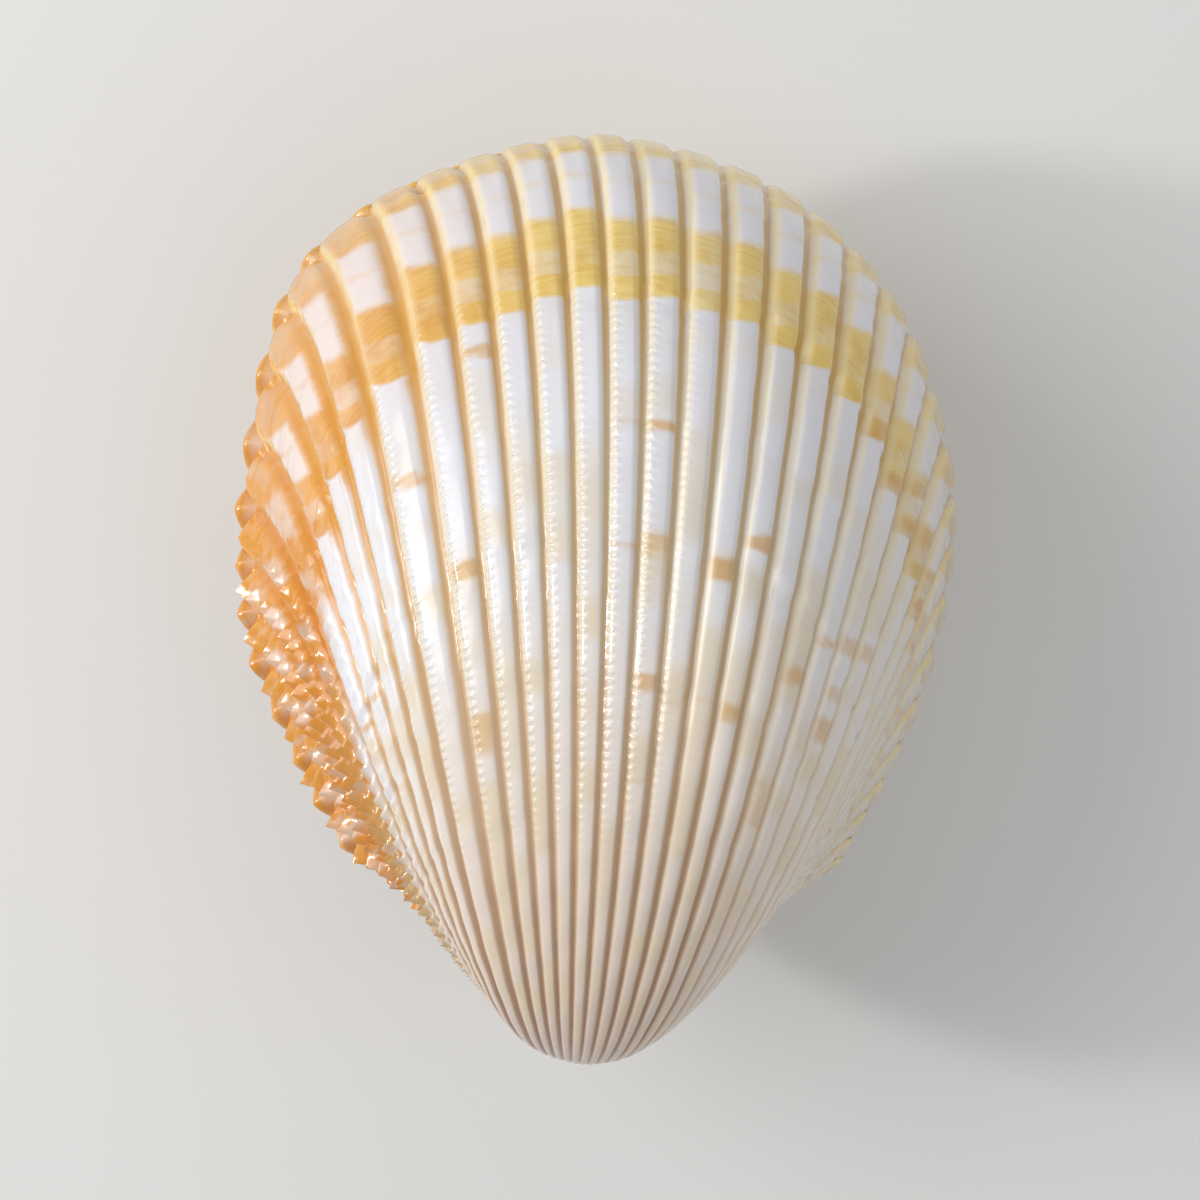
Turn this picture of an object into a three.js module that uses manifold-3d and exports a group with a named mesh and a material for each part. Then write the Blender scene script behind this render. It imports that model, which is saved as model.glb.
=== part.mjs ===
// A closed cockle shell: two ribbed valves with locking toothed rims, and the ligament behind the beaks.
// Millimetres. The shell lies on its right valve on the plane z = 0, with its origin under its middle.
// Before it is laid down, x runs along the hinge to the front end of the animal, y from the beaks to
// the far margin, and z out of the left valve. The plane z = 0 then parts the valves.
import * as THREE from 'three';
import * as BufferGeometryUtils from 'three/addons/utils/BufferGeometryUtils.js';
import Module from 'manifold-3d';

const wasm = await Module();
wasm.setup();

// Where rib ends and dorsal edge lie in the parting plane: rib number, x, y.
// Ribs are counted from the middle, backwards below zero. The loop starts and ends at the beaks.
const marginPoints = [
  [-21.5, 0, 1],
  [-19.5, -7, 3],
  [-17.5, -13.4, 5.8],
  [-15, -17.6, 11.6],
  [-12, -22, 20.3],
  [-9.5, -23.1, 28.4],
  [-7, -22.2, 39.3],
  [-5.5, -20.1, 45.0],
  [-4, -15.4, 49.4],
  [-1, -7.2, 53.1],
  [1.5, -0.2, 54.1],
  [5, 10.4, 51.1],
  [8, 18, 44.2],
  [11, 22, 33.8],
  [13.5, 22.1, 25.8],
  [16, 20.2, 17.3],
  [19, 17.2, 10.4],
  [21.5, 14.8, 6.9],
  [23.5, 7.2, 2.6],
];
const firstRibEdge = -17.5;
const lastRibEdge = 21.5;
const loopStart = -21.5;
const loopLength = 47;

// Growth: how slowly the shell turned about the hinge as it grew, at the rim and more in youth,
// how deep the spiral is beside its reach, and how far it turns in to the beak.
const turnAtRim = 0.297;
const turnInYouth = 1.0475;
const depthRatio = 0.76;
const beakTurn = 2.85;

// How far the crown of a valve leans to the front and to the margin side, for each millimetre of its height
const crownLean = new THREE.Vector2(0.043, 0.175);

// Ribs, wall and locking teeth
const ribHeightRatio = 0.2;
const tallestRib = 0.75;
const ribFoot = 0.6;
const ribSquareness = 3;
const wallAtRim = 2.4;
const toothRatio = 0.17;
const toothFade = 0.9;
const cavityDepth = 0.27;
const rimGap = 0.3;

// The right valve closes a little off the left one, to the hind end and the beaks, so its rim moves
// in or out against the left rim by the share of this slip that points across it.
const valveSlip = new THREE.Vector2(-0.45, -0.45);

// Spines stand in a row on each rib of the hind flank and lean towards the rim.
const firstSpinedRib = -17;
const lastSpinedRib = -8;
const spineSpacing = 2.1;
const spineHeight = 1.25;
const spineLean = 0.35;
// How far along its share of the crest a spine stands, from the younger end
const spinePlace = 0.6;

// Ligament: a brown band on the dorsal edge behind the beaks, between two rib numbers
const ligamentStart = -21.1;
const ligamentEnd = -18.9;
const ligamentWidth = 2.4;
const ligamentHeight = 1.6;
const ligamentRise = 0.3;

// Rest: how far the left valve leans to the front and to the margin side, and what the floor wears off
const leanToFront = THREE.MathUtils.degToRad(3);
const leanToMargin = THREE.MathUtils.degToRad(10);
const turnOnFloor = THREE.MathUtils.degToRad(-3);
const restWear = 0.15;

// The slab of floor that wears the shell flat where it lies
const floorSpan = 200;
const floorDepth = 20;

// How many rings and columns a valve has. Rings above this size have the fine columns.
const growthRows = 12;
const fineRowsAbove = 0.6;
const cavityRows = 4;
const rowCrowding = 1.3;
const fineColumns = 4;
const coarseColumns = 2;
const cavityColumns = 1;
const weldDistance = 1e-5;

const finishes = {
  shell: { color: 0xe9dcc8, roughness: 0.3, metalness: 0 },
  ligament: { color: 0x4a3020, roughness: 0.6, metalness: 0 },
};

// A smooth closed curve through the margin points, by rib number
function marginAt(t) {
  const count = marginPoints.length;
  const place = loopStart + THREE.MathUtils.euclideanModulo(t - loopStart, loopLength);
  let i = 0;
  while (i < count - 1 && marginPoints[i + 1][0] <= place) i += 1;
  const knot = (k) => {
    const turns = Math.floor(k / count);
    const [at, x, y] = marginPoints[k - turns * count];
    return { at: at + turns * loopLength, x, y };
  };
  const [a, b, c, d] = [knot(i - 1), knot(i), knot(i + 1), knot(i + 2)];
  const span = c.at - b.at;
  const u = (place - b.at) / span;
  const blend = (key) => {
    const leave = ((c[key] - a[key]) / (c.at - a.at)) * span;
    const arrive = ((d[key] - b[key]) / (d.at - b.at)) * span;
    const rise = c[key] - b[key];
    const bend = 3 * rise - 2 * leave - arrive;
    const twist = leave + arrive - 2 * rise;
    return b[key] + u * leave + u * u * bend + u * u * u * twist;
  };
  return new THREE.Vector2(blend('x'), blend('y'));
}

function marginSlope(t) {
  const step = 0.01;
  return marginAt(t + step).sub(marginAt(t - step)).divideScalar(2 * step);
}

function marginNormal(t) {
  const slope = marginSlope(t).normalize();
  return new THREE.Vector2(-slope.y, slope.x);
}

// The outer edge of the rim of one valve: side is 1 for the left one and -1 for the right one.
function rimAt(t, side) {
  const normal = marginNormal(t);
  const shift = side < 0 ? ribStrength(t) * valveSlip.dot(normal) : 0;
  return marginAt(t).addScaledVector(normal, shift);
}

// The inner edge of the rim, one wall thickness inside the outer one
function innerRimAt(t, side) {
  return rimAt(t, side).addScaledVector(marginNormal(t), -wallAtRim);
}

// Size of the growing shell, against its full size, once it still had this turn to go
function sizeAtTurn(turn) {
  const youth = turnAtRim + turnInYouth;
  return youth / (turnAtRim * Math.exp(youth * turn) + turnInYouth);
}

function turnAtSize(size) {
  const youth = turnAtRim + turnInYouth;
  return Math.log((youth - turnInYouth * size) / (size * turnAtRim)) / youth;
}

function sweep(edge, size) {
  const turn = turnAtSize(size);
  const height = edge.y * size * Math.sin(turn) * depthRatio;
  return new THREE.Vector3(
    edge.x * size + crownLean.x * height,
    edge.y * size * Math.cos(turn) + crownLean.y * height,
    height,
  );
}

function outwardNormal(t, size, side) {
  const step = 0.01;
  const along = sweep(rimAt(t + step, side), size).sub(sweep(rimAt(t - step, side), size));
  const older = sweep(rimAt(t, side), Math.min(size + step, 1)).sub(sweep(rimAt(t, side), size - step));
  return along.cross(older).normalize();
}

// Ribs fade out at both ends of the ribbed stretch.
function ribStrength(t) {
  const inside = Math.min(t - firstRibEdge, lastRibEdge - t);
  return THREE.MathUtils.smoothstep(inside, -0.1, 1);
}

function ribHeight(t) {
  return ribStrength(t) * Math.min(ribHeightRatio * marginSlope(t).length(), tallestRib);
}

// The ribs of one valve stand against the furrows of the other.
function ribShiftOf(side) {
  return side < 0 ? 0.5 : 0;
}

// Square-topped ribs with narrow furrows
function ribLift(t, side) {
  const place = t - ribShiftOf(side);
  const u = place - Math.round(place);
  return ribHeight(t) * (1 - Math.abs(2 * u) ** ribSquareness - ribFoot);
}

// The parting line zigzags, so that each rib end reaches down between two of the other valve.
function toothAt(t) {
  const reach = Math.min(toothRatio * marginSlope(t).length(), tallestRib);
  return -ribStrength(t) * reach * Math.cos(2 * Math.PI * t);
}

function outerPoint(t, size, side) {
  const lift = ribLift(t, side) * size;
  return sweep(rimAt(t, side), size).addScaledVector(outwardNormal(t, size, side), lift);
}

// Columns of one ring, by rib number: many across the ribs, few along the dorsal edge
function columns(perRib) {
  const places = [];
  const coarse = Math.min(perRib, coarseColumns);
  for (let t = loopStart; t < firstRibEdge; t += 1 / coarse) places.push(t);
  for (let t = firstRibEdge; t < lastRibEdge; t += 1 / perRib) places.push(t);
  for (let t = lastRibEdge; t < loopStart + loopLength; t += 1 / coarse) places.push(t);
  return places;
}

// A tube through rings of points, closed at both ends by a fan. Rings may differ in their columns.
// Between two rings with the same columns, a crest may run through more points than the two in the rings.
function closedSkin(rings, mirrored, crestBetween = () => []) {
  const positions = [];
  const faces = [];
  const addFace = (a, b, c) => faces.push(a, mirrored ? c : b, mirrored ? b : c);
  const addFan = (hub, chain) => {
    for (let k = 0; k + 1 < chain.length; k += 1) addFace(hub, chain[k], chain[k + 1]);
  };
  const starts = rings.map(({ points }) => {
    const start = positions.length / 3;
    points.forEach((p) => positions.push(p.x, p.y, p.z));
    return start;
  });
  for (let r = 0; r + 1 < rings.length; r += 1) {
    const [low, high] = [rings[r], rings[r + 1]];
    const [n, m] = [low.places.length, high.places.length];
    const placeOf = (ring, k) => (k < ring.places.length ? ring.places[k] : loopStart + loopLength);
    const crests = low.places.map((t, k) => {
      const between = n === m ? crestBetween(t, low, high) : [];
      const start = positions.length / 3;
      between.forEach((p) => positions.push(p.x, p.y, p.z));
      return [starts[r] + k, ...between.map((_, step) => start + step), starts[r + 1] + k];
    });
    let i = 0;
    let j = 0;
    while (i < n || j < m) {
      const a = starts[r] + (i % n);
      const b = starts[r + 1] + (j % m);
      const aligned = n === m;
      if (j === m || (i < n && placeOf(low, i + 1) <= placeOf(high, j + 1))) {
        i += 1;
        const next = starts[r] + (i % n);
        if (aligned) addFan(next, [...crests[j]].reverse());
        else addFace(a, next, b);
      } else {
        j += 1;
        const next = starts[r + 1] + (j % m);
        if (aligned) addFan(b, crests[i % n]);
        else addFace(a, next, b);
      }
    }
  }
  const addCap = (r, inward) => {
    const { points } = rings[r];
    const centre = points.reduce((sum, p) => sum.add(p), new THREE.Vector3()).divideScalar(points.length);
    const hub = positions.length / 3;
    positions.push(centre.x, centre.y, centre.z);
    points.forEach((_, k) => {
      const here = starts[r] + k;
      const next = starts[r] + ((k + 1) % points.length);
      addFace(hub, inward ? here : next, inward ? next : here);
    });
  };
  addCap(0, false);
  addCap(rings.length - 1, true);
  const geometry = new THREE.BufferGeometry();
  geometry.setAttribute('position', new THREE.Float32BufferAttribute(positions, 3));
  geometry.setIndex(faces);
  return geometry;
}

function toSolid(geometry) {
  const bare = geometry.clone();
  bare.deleteAttribute('normal');
  bare.deleteAttribute('uv');
  const merged = BufferGeometryUtils.mergeVertices(bare, weldDistance);
  return new wasm.Manifold(new wasm.Mesh({
    numProp: 3,
    vertProperties: new Float32Array(merged.attributes.position.array),
    triVerts: new Uint32Array(merged.index.array),
  }));
}

function toGeometry(solid) {
  const mesh = solid.getMesh();
  const geometry = new THREE.BufferGeometry();
  geometry.setAttribute('position', new THREE.BufferAttribute(mesh.vertProperties, mesh.numProp));
  geometry.setIndex(new THREE.BufferAttribute(mesh.triVerts, 1));
  geometry.computeVertexNormals();
  return geometry;
}

// One valve: side is 1 for the left one and -1 for the right one.
function valve(side) {
  const settle = (p, t, size) => {
    const fade = THREE.MathUtils.smoothstep(size, toothFade, 1);
    p.z = side * (p.z + rimGap / 2) + toothAt(t) * fade;
    return p;
  };
  const rings = [];
  const addRing = (perRib, point, size = 0) => {
    const places = columns(perRib);
    rings.push({ places, points: places.map(point), size });
  };
  // A row of spines along the crest of a hind rib, from one ring to the next older one
  const spines = (t, young, old) => {
    const rib = t - ribShiftOf(side);
    const spined = Number.isInteger(rib) && rib >= firstSpinedRib && rib <= lastSpinedRib;
    if (!spined || !young.size || !old.size) return [];
    const crest = (size) => outerPoint(t, size, side);
    const reach = crest(young.size).distanceTo(crest(old.size));
    const middleSize = (young.size + old.size) / 2;
    const count = Math.max(1, Math.round(reach / (spineSpacing * Math.sqrt(middleSize))));
    const points = [];
    for (let k = 0; k < count; k += 1) {
      const size = THREE.MathUtils.lerp(young.size, old.size, (k + spinePlace) / count);
      const towardsRim = crest(old.size).sub(crest(young.size)).normalize();
      const height = spineHeight * Math.sqrt(size);
      const tip = crest(size)
        .addScaledVector(outwardNormal(t, size, side), height)
        .addScaledVector(towardsRim, height * spineLean);
      points.push(settle(tip, t, size));
      if (k + 1 === count) break;
      const dip = THREE.MathUtils.lerp(young.size, old.size, (k + 1) / count);
      points.push(settle(crest(dip), t, dip));
    }
    return points;
  };
  for (let row = growthRows; row >= 0; row -= 1) {
    const size = sizeAtTurn(beakTurn * (row / growthRows) ** rowCrowding);
    const perRib = size > fineRowsAbove ? fineColumns : coarseColumns;
    addRing(perRib, (t) => settle(outerPoint(t, size, side), t, size), size);
  }
  addRing(fineColumns, (t) => settle(sweep(innerRimAt(t, side), 1), t, 1));
  for (let row = 1; row <= cavityRows; row += 1) {
    const size = sizeAtTurn(turnAtSize(cavityDepth) * (row / cavityRows) ** rowCrowding);
    addRing(cavityColumns, (t) => settle(sweep(innerRimAt(t, side), size), t, size));
  }
  return toSolid(closedSkin(rings, side < 0, spines));
}

// The ligament follows the dorsal edge behind the beaks and swells in the middle.
function ligament(extra) {
  const steps = 7;
  const sides = 8;
  const endWidth = 0.25;
  const rings = [];
  for (let i = 0; i <= steps; i += 1) {
    const t = THREE.MathUtils.lerp(ligamentStart, ligamentEnd, i / steps);
    const outward = marginNormal(t);
    const swell = endWidth + (1 - endWidth) * Math.sin((Math.PI * i) / steps);
    const points = [];
    const places = [];
    for (let k = 0; k < sides; k += 1) {
      const angle = (k / sides) * 2 * Math.PI;
      const high = ((ligamentHeight / 2) * swell + extra) * Math.cos(angle) + ligamentRise;
      const wide = ((ligamentWidth / 2) * swell + extra) * Math.sin(angle);
      const edge = marginAt(t).addScaledVector(outward, high);
      points.push(new THREE.Vector3(edge.x, edge.y, wide));
      places.push(loopStart + (k / sides) * loopLength);
    }
    rings.push({ places, points });
  }
  return toSolid(closedSkin(rings, false));
}

// Laid on the right valve, which touches the floor with the crests of its fullest ribs
const laid = new THREE.Matrix4()
  .makeRotationFromEuler(new THREE.Euler(-leanToMargin, leanToFront, turnOnFloor, 'XYZ'));
const bed = ligament(rimGap);
const solids = {
  left_valve: toGeometry(valve(1).subtract(bed)).applyMatrix4(laid),
  right_valve: toGeometry(valve(-1).subtract(bed)).applyMatrix4(laid),
  ligament: toGeometry(ligament(0)).applyMatrix4(laid),
};

const rightBox = new THREE.Box3().setFromBufferAttribute(solids.right_valve.attributes.position);
const floorSlab = new THREE.BoxGeometry(floorSpan, floorSpan, floorDepth);
floorSlab.translate(0, 0, rightBox.min.z + restWear - floorDepth / 2);
solids.right_valve = toGeometry(toSolid(solids.right_valve).subtract(toSolid(floorSlab)));

const whole = new THREE.Box3();
Object.values(solids).forEach((geometry) => {
  whole.union(new THREE.Box3().setFromBufferAttribute(geometry.attributes.position));
});
const middle = whole.getCenter(new THREE.Vector3());

const shell = new THREE.Group();
Object.entries(solids).forEach(([name, geometry]) => {
  const finish = name === 'ligament' ? finishes.ligament : finishes.shell;
  const mesh = new THREE.Mesh(geometry, new THREE.MeshStandardMaterial(finish));
  mesh.name = name;
  mesh.position.set(-middle.x, -middle.y, -whole.min.z);
  shell.add(mesh);
});

export default shell;
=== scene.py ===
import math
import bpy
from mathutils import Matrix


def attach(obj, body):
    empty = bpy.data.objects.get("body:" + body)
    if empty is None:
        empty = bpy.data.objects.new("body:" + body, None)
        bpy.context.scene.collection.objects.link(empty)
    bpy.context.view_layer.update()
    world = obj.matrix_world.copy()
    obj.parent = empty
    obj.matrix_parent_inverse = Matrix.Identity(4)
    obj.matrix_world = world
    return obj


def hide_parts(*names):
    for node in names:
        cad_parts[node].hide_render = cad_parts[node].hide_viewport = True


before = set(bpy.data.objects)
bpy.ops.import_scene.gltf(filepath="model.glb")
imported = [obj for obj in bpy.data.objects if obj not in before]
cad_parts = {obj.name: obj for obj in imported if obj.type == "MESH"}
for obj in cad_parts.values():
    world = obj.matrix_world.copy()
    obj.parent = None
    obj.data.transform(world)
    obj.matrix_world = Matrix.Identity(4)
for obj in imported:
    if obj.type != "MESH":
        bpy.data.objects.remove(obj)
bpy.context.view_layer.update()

# Looks of a closed cockle shell: two ribbed, spined valves, the ligament, floor, lights and camera.
# Sizes are in millimetres and become metres where a mesh is made.
from types import SimpleNamespace

import bpy
import numpy as np
from mathutils import Matrix, Vector

MM = 0.001

# Rib ends and dorsal edge in the parting plane: rib number, x to the front end, y from the beaks.
# Ribs are counted from the middle, backwards below zero. The loop starts and ends at the beaks.
MARGIN_POINTS = np.array([
    [-21.5, 0, 1],
    [-19.5, -7, 3],
    [-17.5, -13.4, 5.8],
    [-15, -17.6, 11.6],
    [-12, -22, 20.3],
    [-9.5, -23.1, 28.4],
    [-7, -22.2, 39.3],
    [-5.5, -20.1, 45.0],
    [-4, -15.4, 49.4],
    [-1, -7.2, 53.1],
    [1.5, -0.2, 54.1],
    [5, 10.4, 51.1],
    [8, 18, 44.2],
    [11, 22, 33.8],
    [13.5, 22.1, 25.8],
    [16, 20.2, 17.3],
    [19, 17.2, 10.4],
    [21.5, 14.8, 6.9],
    [23.5, 7.2, 2.6],
])
LOOP_START = -21.5
LOOP_LENGTH = 47
FIRST_RIB_EDGE = -17.5
LAST_RIB_EDGE = 21.5

# Growth spiral
TURN_AT_RIM = 0.297
TURN_IN_YOUTH = 1.0475
DEPTH_RATIO = 0.76
BEAK_TURN = 2.85
CROWN_LEAN = (0.043, 0.175)

# How the shell lies: the leans of the left valve, the turn on the floor, and where the beaks come to be
LEAN_TO_FRONT = math.radians(3)
LEAN_TO_MARGIN = math.radians(10)
TURN_ON_FLOOR = math.radians(-3)
BEAKS_AT = Vector((-0.429, -23.621, 25.276))
LAID = Matrix.Rotation(-LEAN_TO_MARGIN, 3, "X") @ Matrix.Rotation(LEAN_TO_FRONT, 3, "Y") \
    @ Matrix.Rotation(TURN_ON_FLOOR, 3, "Z")

# Ribs, rim and wall
RIB_HEIGHT_RATIO = 0.2
TALLEST_RIB = 0.75
RIB_FOOT = 0.6
RIB_CROWN = 0.3
RIB_SHOULDER = 0.5
FURROW_EDGE = 0.97
# How far inside the first and last rib edge, in ribs, the ribs rise to their full height
RIB_ONSET = (-0.1, 1)
# Ribs end in round arcs: the power of the arc, and how round ribs are at the rim and on the old shell
ARC_POWER = 2.2
ROUND_AT_RIM = 0.85
RIM_END = (0.5, 5)
ROUND_WHEN_OLD = 0.6
OLD_SHELL = (32, 55)
# Wear of the front: the share of a rib that is lost, and the ribs and growth distances where it sets in
WEAR = 0.65
WORN_RIBS = (5, 8.5)
WORN_GROWTH = (14, 44)
# Wall, teeth of the rim, depth of the hollow that is made, gap between the rims and rounding of each
WALL_AT_RIM = 2.4
TOOTH_RATIO = 0.17
TOOTH_FADE = 0.9
CAVITY_DEPTH = 0.27
RIM_GAP = 0.08
RIM_ROUNDING = 0.3
# The right valve closes a little off the left one: its rim moves by what of this points across it
VALVE_SLIP = np.array([-0.45, -0.45])

# Columns for each rib, and how far apart the open rows are
COLUMNS_SMOOTH = 12
COLUMNS_SPINED = 14
COLUMNS_DORSAL = 6
ROW_STEP = 0.68
RIM_ROWS = 4
CAVITY_ROWS = 6
# How much closer together rows come towards the rim and towards the top of the hollow
RIM_BUNCHING = 1.5
CAVITY_BUNCHING = 1.3
# Length of the table of sizes and growth distances
TURN_SAMPLES = 1500

# Spines: ribs that carry them, distance between two, and height and shape of the tallest
FIRST_SPINED_RIB = -17
LAST_SPINED_RIB = -8
SPINED_EDGE = -7
SPINE_SPACING = 1.25
SPINE_HEIGHT = 1.05
SPINE_BACK = 0.8
SPINE_FRONT = 0.35
SPINE_BREADTH = 0.34
SPINE_LEAN = 0.4
# Power of a spine's profile, and the random range of heights and steps against the usual ones
SPINE_HOLLOW = 1.3
SPINE_HEIGHTS = (0.72, 1.12)
SPINE_STEPS = (0.8, 1.2)
# Spines are lower on the ribs next to the flank's border
SPINE_FULLNESS = {-8: 0.1, -9: 0.3, -10: 0.6, -11: 0.85}
# The right valve's spines, as a share of the left one's: away from the rim and near it, and how near
RIGHT_SPINES = 0.65
RIGHT_RIM_SPINES = 0.35
RIGHT_SPINE_RIM = (2, 9)

# Growth halts, as distance from the rim along the middle rib, and their depth
GROWTH_STEPS = (
    (6.4, 0.08), (12.4, 0.05), (22.2, 0.12), (31, 0.05), (38.5, 0.08), (46.5, 0.06), (55, 0.05),
)
STEP_WIDTH = 0.45
# Each halt has a low swell before it: its share of the depth, how far away it is and how wide
SWELL_SHARE = 0.5
SWELL_AWAY = 1.1
SWELL_WIDTH = 0.7
UNEVENNESS = 0.02
# The relief of growth fades in from the rim by growth distance, and from the beaks by size
RELIEF_FULL = 3
RELIEF_SIZES = (0.1, 0.4)

# Small pits, the first a chip near the rim: rib number, growth distance, radius and depth
PITS = ((-3.5, 3.6, 0.5, 0.35), (12.4, 30, 0.5, 0.35), (13, 38, 0.6, 0.3))

# Dabs of ochre on single ribs: rib number, growth distance, half length and strength
DABS = (
    (2, 31.0, 0.45, 0.9), (1, 31.1, 0.4, 0.55), (0, 31.3, 0.3, 0.4), (0, 25.1, 0.5, 0.4),
    (1, 38.6, 0.4, 0.6), (2, 38.2, 0.9, 0.6), (4, 38.6, 0.7, 1.0), (5, 36.2, 0.5, 1.0),
    (2, 46.2, 0.5, 0.9), (5, 46.7, 0.7, 0.8), (-4, 38.1, 0.7, 0.8), (-4, 48.4, 1.6, 0.6),
    (-3, 24.2, 0.6, 0.8), (-5, 30.4, 0.7, 0.7), (8, 21.3, 1.0, 0.8), (9, 22.3, 1.0, 0.8),
    (10, 17.6, 1.0, 0.8), (10, 22.0, 1.0, 0.8), (11, 17.3, 1.0, 0.8), (12, 16.2, 1.0, 0.7),
    (12, 20.5, 1.0, 0.7), (9, 36.6, 1.0, 0.6), (10, 34.3, 1.0, 0.6), (7, 42.4, 0.8, 0.7),
    (9, 40.3, 0.8, 0.6), (9, 43.3, 1.2, 0.6), (7, 51.2, 2.0, 0.5),
)
# Gold growth bands: where each starts and ends, how soft its borders are, and its strength
GOLD_BANDS = (
    (-6, 7.3, 1.2, 1.0),
    (10.6, 11.8, 0.6, 0.36),
    (15.2, 18.8, 0.95, 1.0),
    (18, 21, 0.5, 0.72),
    (20.2, 22.1, 0.35, 1.0),
)
# How far bands move from rib to rib and how strong they are, and the shares that go between two ribs
BAND_WOBBLE = 0.45
BAND_STRENGTH = (0.75, 1.1)
FRONT_FADES = ((0.3, 8, 13), (0.45, 12, 17))
# Bands bow away from the rim between the ribs, and more so on the hind ribs
BAND_BOW = 1
HIND_BAND_BOW = 2
HIND_RIBS = (-7, -2)
HIND_BAND_SHIFT = 0.6
# Gold beside the furrows of the hind ribs: strength, where it lies across a rib, and its growth distances
BESIDE_FURROW = 0.9
BESIDE_ACROSS = (0.16, 0.37)
BESIDE_GROWTH = (-4, 26, 3)
# Growth distances where some ribs have a faint dab, and the share of ribs that do
DAB_LINES = ((25.5, 0.25), (31, 0.25), (38.4, 0.3), (46.5, 0.25), (52, 0.2))
DAB_SOFTNESS = 0.4
FAINT_DAB_LENGTH = 0.5
FAINT_DAB_GAIN = 2.5
FAINT_DAB_STRENGTH = 0.8
# Border of the hind flank: its rib number at the rim, and how far back it moves on the older shell
FLANK_BORDER = -8.6
FLANK_RETREAT = 1.4
RETREAT_GROWTH = (18, 42)
BORDER_SOFTNESS = 0.5
# Pale patches on the hind flank: growth distance and half length
FLANK_PATCHES = ((11.5, 2.6), (21.5, 1.2))
PATCH_SOFTNESS = 0.8
PATCH_ACROSS = (0.2, 0.42)
PATCH_SHIFT = 0.04
# How orange the flank is, and how much of that goes in patches and in pale mottling
FLANK_ORANGE = 0.85
PATCH_LOSS = 0.55
MOTTLE_LOSS = 0.45
PALE_MOTTLE = (0.6, 0.95)
# Beads: their rib numbers and growth distances with soft ends, and their line across a rib
BEAD_RIBS = (-8, 2.5, 1.5)
BEAD_GROWTH = (20, 54, 5)
BEAD_LINE = (-0.27, 0.12)
# Ribs over which the shell turns from warm to cool, and ribs over which the front's tan sets in
WARM_RIBS = (-8, 1)
FRONT_RIBS = (7, 14)

# Values that each point of a valve's mesh carries for the material, the masks of a painted highlight and of
# painted shade among them
SHELL_ATTRIBUTES = (
    "growth", "ribbed", "spine", "warmth", "front", "inside", "gold", "level", "loud", "dab", "bead", "flank",
    "furrow", "shoulder", "mottle",
)
# Random values are drawn for this many ribs, and a rib's own is found by its number and this offset
RIB_COUNT = 60
RIB_NUMBER_OFFSET = 25
LEFT_SEED = 7
RIGHT_SEED = 11
PIGMENT_SEED = 5
LIGAMENT_SEED = 3
# Distance between two beads, and the turn of their wave for each millimetre
BEAD_SPACING = 0.62
BEAD_PITCH = 2 * math.pi / BEAD_SPACING
# Gloss of the shell
SHELL_IOR = 1.53
COAT_WEIGHT = 0.5
COAT_ROUGHNESS = 0.12
# Depth of the bump in metres, and the relief of growth lines, grain and beads against it
BUMP_DEPTH = 0.0001
LINE_RELIEF = 0.06
GRAIN_RELIEF = 0.1
BEAD_RELIEF = 0.45
# How far along a rib its tint stays about the same, values to spare at its end, and how tints blend
MOTTLE_LENGTH = 2.4
MOTTLE_SPARE = 3
MOTTLE_BLEND = (0.1, 0.9)
# Where the furrow's ochre lies, as a share of the rib spacing from the rib's middle, and its reach,
# which grows on the older shell as painted shade on the sides of the rounder ribs there
FURROW_MIDDLE = 0.46
FURROW_REACH = 0.17
FURROW_CORE = 0.03
OLD_FURROW_SHADE_REACH = 0.16
OLD_FURROWS = (34, 60)
# The painted highlight, a pale line along the lit hind shoulder of each rib beside the furrow: its place and
# width across the rib
SHOULDER_HIGHLIGHT_LINE = (-0.36, 0.09)

# Edges sharper than these angles stay sharp
SHELL_CREASE = math.radians(50)
LIGAMENT_CREASE = math.radians(60)

# Ligament: rib numbers of its two ends, width, height and rise over the dorsal edge
LIGAMENT_START = -21.1
LIGAMENT_END = -18.9
LIGAMENT_WIDTH = 2.4
LIGAMENT_HEIGHT = 1.6
LIGAMENT_RISE = 0.3
# Steps along it, sides round it, and the thickness of its tips as a share of the middle's
LIGAMENT_STEPS = 60
LIGAMENT_SIDES = 40
LIGAMENT_TIP = 0.25

# Camera: tilts against the left valve, the point it aims at, its distance and the width it sees there
VIEW_TILT = math.radians(5)
VIEW_LEAN = math.radians(3)
VIEW_ROLL = 0.0535
VIEW_AIM = (-0.316, 23.896, 0)
VIEW_DISTANCE = 220
VIEW_WIDTH = 77.17
SENSOR_WIDTH = 36
CLIP_START = 0.01

# Stage, in metres and watts. Lights: name, direction from the shell, distance, size and power
FLOOR_SIZE = 4
WORLD_STRENGTH = 0.5
LIGHTS = (
    ("key", (-0.9, 0.35, 0.85), 0.5, 0.35, 1.0),
    ("sparkle", (-1.1, 0.1, 0.7), 0.5, 0.05, 0.7),
    ("fill", (0.6, -0.2, 0.9), 0.6, 0.5, 0.5),
    ("back", (0.1, 0.9, 0.6), 0.6, 0.4, 0.3),
)


def margin_at(t):
    """The margin curve at rib numbers t, as an array of x, y."""
    count = len(MARGIN_POINTS)
    place = LOOP_START + np.mod(np.asarray(t, float) - LOOP_START, LOOP_LENGTH)
    knot = np.searchsorted(MARGIN_POINTS[:, 0], place, side="right") - 1

    def read(k):
        turns = np.floor_divide(k, count)
        at = MARGIN_POINTS[k - turns * count]
        return at[..., 0] + turns * LOOP_LENGTH, at[..., 1:]

    (ta, a), (tb, b), (tc, c), (td, d) = (read(knot + step) for step in (-1, 0, 1, 2))
    span = (tc - tb)[..., None]
    u = (place - tb)[..., None] / span
    leave = (c - a) / (tc - ta)[..., None] * span
    arrive = (d - b) / (td - tb)[..., None] * span
    rise = c - b
    return b + u * leave + u ** 2 * (3 * rise - 2 * leave - arrive) + u ** 3 * (leave + arrive - 2 * rise)


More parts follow.
